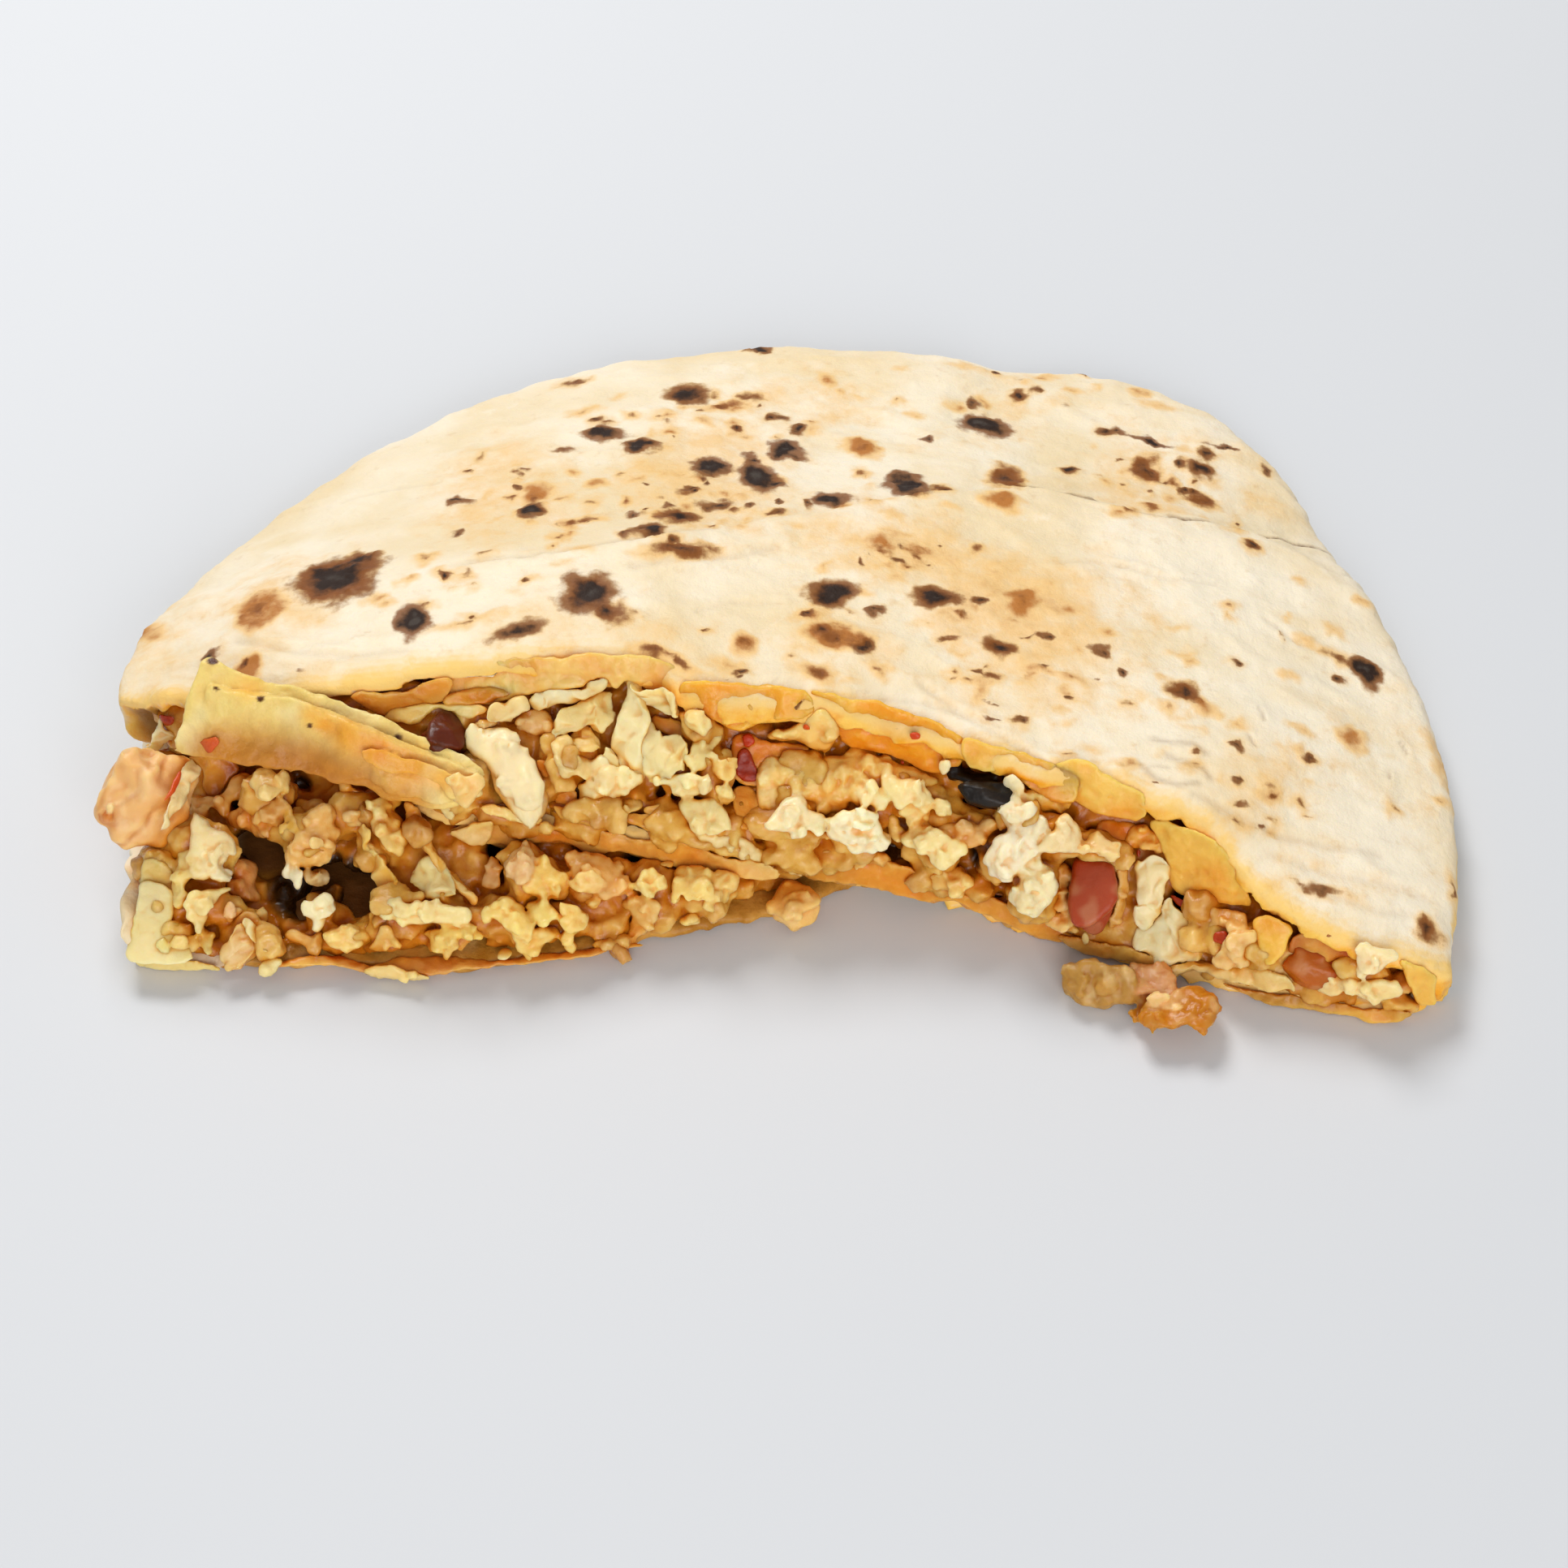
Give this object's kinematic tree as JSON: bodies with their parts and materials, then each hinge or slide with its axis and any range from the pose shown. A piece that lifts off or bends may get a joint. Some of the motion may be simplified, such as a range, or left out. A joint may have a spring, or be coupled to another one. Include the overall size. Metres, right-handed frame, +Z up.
{
  "type": "stuffed paneer naan half",
  "caption": "Half of a stuffed naan: a flat half-round pocket of charred bread with crumbled paneer filling showing at its open cut side, its left end on a lower sheet of bread.",
  "frame": {"origin": "middle of the bounding box's bottom face, on the surface that the naan lies on", "axes": "+Z up, +X along the cut side to the right, -Y out of the cut side, +Y towards the round rim"},
  "size_m": [0.2414, 0.1684, 0.0401],
  "materials": {
    "naan_bread": "matt cream flatbread with brown and black char spots",
    "oiled_bread": "satin yellow bread soaked with oil",
    "paneer_filling": "moist crumbled paneer, cream to yellow",
    "browned_paneer": "browned and ridged",
    "pale_paneer": "moist off-white",
    "mushroom": "dark brown, glossy",
    "charred_onion": "black, satin",
    "tomato": "moist red",
    "pale_onion": "moist, pale and slightly clear",
    "cabbage": "moist pale yellow leaf",
    "spiced_oil": "glossy orange oil and crumbs"
  },
  "bodies": {
    "root": {"bread_upper": "naan_bread", "bread_lower": "naan_bread", "bread_flap": "oiled_bread", "filling_upper": "paneer_filling", "filling_lower": "paneer_filling", "browned_chunk": "browned_paneer", "paneer_piece": "pale_paneer", "mushroom_piece": "mushroom", "charred_onion": "charred_onion", "tomato_piece": "tomato", "tomato_slice": "tomato", "onion_petal": "pale_onion", "onion_strip": "cabbage", "cabbage_band": "cabbage", "cabbage_fold": "cabbage", "cabbage_leaf": "cabbage", "spilled_filling": "spiced_oil", "fallen_curd": "paneer_filling"}
  },
  "joints": []
}
